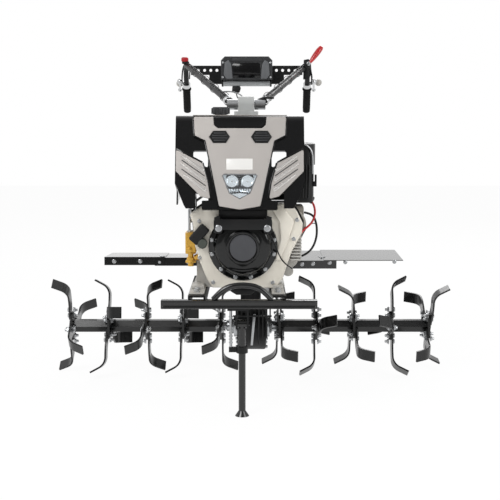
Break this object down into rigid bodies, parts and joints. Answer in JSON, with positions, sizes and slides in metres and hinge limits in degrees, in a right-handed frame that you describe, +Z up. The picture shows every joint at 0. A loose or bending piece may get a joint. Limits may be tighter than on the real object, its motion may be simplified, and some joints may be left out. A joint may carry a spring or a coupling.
{
  "type": "walking power tiller",
  "caption": "Walk-behind diesel power tiller with tine rotors, folding front stand, moulded hood and a handlebar that swivels and tilts.",
  "frame": {"origin": "middle of the machine's bounding box, on the ground", "axes": "+Z up, the machine's front faces -Y, the rotor axle lies along X"},
  "size_m": [1.398, 1.5448, 1.228],
  "materials": {
    "cast_grey": "painted casting, satin",
    "engine_alloy": "die cast, matte",
    "black_paint": "powder coat, satin",
    "cream_paint": "enamel, satin",
    "gloss_black_paint": "gloss enamel",
    "black_plastic": "moulded, fine grain",
    "gloss_black_plastic": "moulded, gloss",
    "silver_plastic": "silver painted moulding",
    "grey_plastic": "moulded, fine grain",
    "rubber": "moulded, matte",
    "steel": "turned, zinc plated",
    "silver_paint": "silver paint, satin",
    "chrome": "vacuum plated",
    "clear_lens": "clear",
    "alloy": "polished casting",
    "red_paint": "gloss enamel",
    "brass": "yellow zinc plate",
    "grey_paint": "light grey paint, satin"
  },
  "bodies": {
    "chassis": {"air_filter": "black_plastic", "axle_seals": "steel", "bumper_arch": "black_paint", "bumper_bar": "black_paint", "clutch_housing": "engine_alloy", "crankcase": "engine_alloy", "cylinder": "cast_grey", "cylinder_head": "engine_alloy", "fan_shroud": "cream_paint", "fender_bars": "black_paint", "fender_left_inner": "black_paint", "fender_left_outer": "black_paint", "fender_right_inner": "black_paint", "fender_right_outer": "black_paint", "frame_rails": "black_paint", "fuel_cap": "grey_plastic", "fuel_tank": "black_plastic", "gear_lever": "black_paint", "gearbox_housing": "cast_grey", "gearbox_lid": "cast_grey", "handle_column": "grey_paint", "headlamp_housing": "chrome", "headlamp_lens": "clear_lens", "hood_centre_panel": "silver_plastic", "hood_posts": "black_paint", "hood_shell": "gloss_black_plastic", "hood_wings": "silver_plastic", "injection_line": "steel", "injection_pump": "brass", "intake_elbow": "engine_alloy", "muffler": "black_paint", "muffler_shield": "steel", "rear_hitch": "cast_grey", "recoil_badge": "grey_plastic", "recoil_handle": "black_plastic", "recoil_starter": "gloss_black_paint", "rocker_cover": "engine_alloy", "stand_bracket": "black_paint", "stand_spring": "steel", "starter_motor": "black_paint", "tank_brackets": "black_paint", "voltage_regulator": "engine_alloy"},
    "rotors": {"rotor_shaft": "steel", "rotor_tube_left": "black_paint", "rotor_tube_right": "black_paint", "tine_discs_left": "black_paint", "tine_discs_right": "black_paint"},
    "stand": {"stand_leg": "black_paint", "stand_collar": "black_paint"},
    "handle_head": {"handle_base": "grey_paint"},
    "handlebar": {"handle_yoke": "steel", "handle_arm_left": "black_paint", "handle_arm_right": "black_paint", "handle_grips": "rubber", "hand_levers": "alloy", "console": "grey_plastic", "console_roll": "silver_paint", "cross_brace": "black_paint", "red_lever": "red_paint"}
  },
  "joints": [
    {"name": "rotor_spin", "type": "hinge", "parent": "chassis", "child": "rotors", "pos_m": [0, -0.2433, 0.17603], "axis": [1, 0, 0], "continuous": true},
    {"name": "stand_fold", "type": "hinge", "parent": "chassis", "child": "stand", "pos_m": [-0.0245, -0.7353, 0.288], "axis": [1, 0, 0], "range_deg": [0, 85], "deforming": ["stand_spring"]},
    {"name": "handle_swivel", "type": "hinge", "parent": "chassis", "child": "handle_head", "pos_m": [-0.014, -0.0913, 0.926], "axis": [0, 0, 1], "range_deg": [-30, 30]},
    {"name": "handle_tilt", "type": "hinge", "parent": "handle_head", "child": "handlebar", "pos_m": [-0.014, -0.0913, 0.964], "axis": [1, 0, 0], "range_deg": [-12, 20]}
  ]
}
